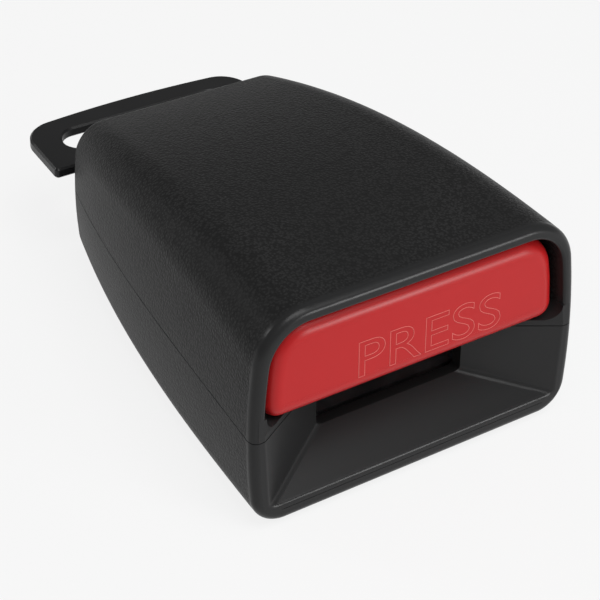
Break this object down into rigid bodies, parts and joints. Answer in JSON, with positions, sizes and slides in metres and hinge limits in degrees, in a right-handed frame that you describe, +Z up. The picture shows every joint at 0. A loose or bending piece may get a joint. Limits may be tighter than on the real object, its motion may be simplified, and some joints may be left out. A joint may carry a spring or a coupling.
{
  "type": "seat belt buckle",
  "caption": "End-release seat belt buckle: two moulded covers round a steel frame, a sprung press button, pawl, lock bar and ejector, and a slotted webbing plate.",
  "frame": {"origin": "under the middle of the whole part, on the plane the belly rests on", "axes": "+X across the buckle, +Y from the tongue mouth to the webbing plate, +Z up, button above the mouth"},
  "size_m": [0.0618, 0.0969, 0.0383],
  "materials": {
    "cover_black": "fine leather grain, moulded",
    "button_red": "satin gloss",
    "slider_plastic": "smooth acetal",
    "ejector_plastic": "smooth acetal",
    "frame_steel": "zinc plated",
    "plate_black": "black coated steel",
    "spring_steel": "spring wire"
  },
  "bodies": {
    "housing": {"upper_cover": "cover_black", "lower_cover": "cover_black", "frame_channel": "frame_steel", "tongue_guide": "slider_plastic", "spring_bridge": "frame_steel", "bridge_rivets": "frame_steel", "latch_pin": "frame_steel", "ejector_guide_pin": "frame_steel", "ejector_spring": "spring_steel", "button_spring_left": "spring_steel", "button_spring_right": "spring_steel", "latch_spring": "spring_steel", "anchor_plate": "plate_black", "anchor_rivets": "frame_steel"},
    "button": {"button_cap": "button_red", "button_slider": "slider_plastic", "lock_spring_left": "spring_steel", "lock_spring_right": "spring_steel"},
    "ejector": {"ejector": "ejector_plastic"},
    "latch": {"latch_pawl": "frame_steel"},
    "lock_bar": {"lock_bar": "frame_steel"}
  },
  "joints": [
    {"name": "button_press", "type": "slide", "parent": "housing", "child": "button", "axis": [0, 1, 0], "range_m": [0, 0.006], "stiffness_N_per_m": 900, "springref_m": -0.004, "deforming": ["button_spring_left", "button_spring_right"]},
    {"name": "ejector_slide", "type": "slide", "parent": "housing", "child": "ejector", "axis": [0, 1, 0], "range_m": [0, 0.01], "stiffness_N_per_m": 500, "springref_m": -0.006, "deforming": ["ejector_spring"]},
    {"name": "latch_swing", "type": "hinge", "parent": "housing", "child": "latch", "pos_m": [0, 0.00349, 0.01835], "axis": [1, 0, 0], "range_deg": [0, 9], "deforming": ["latch_spring"]},
    {"name": "lock_bar_slide", "type": "slide", "parent": "button", "child": "lock_bar", "axis": [0, -1, 0], "range_m": [0, 0.0054], "deforming": ["lock_spring_left", "lock_spring_right"]}
  ],
  "couplings": [
    {"joint": "latch_swing", "follows": "ejector_slide", "rad_per_m": 15.708},
    {"joint": "lock_bar_slide", "follows": "ejector_slide", "ratio": 0.54}
  ]
}
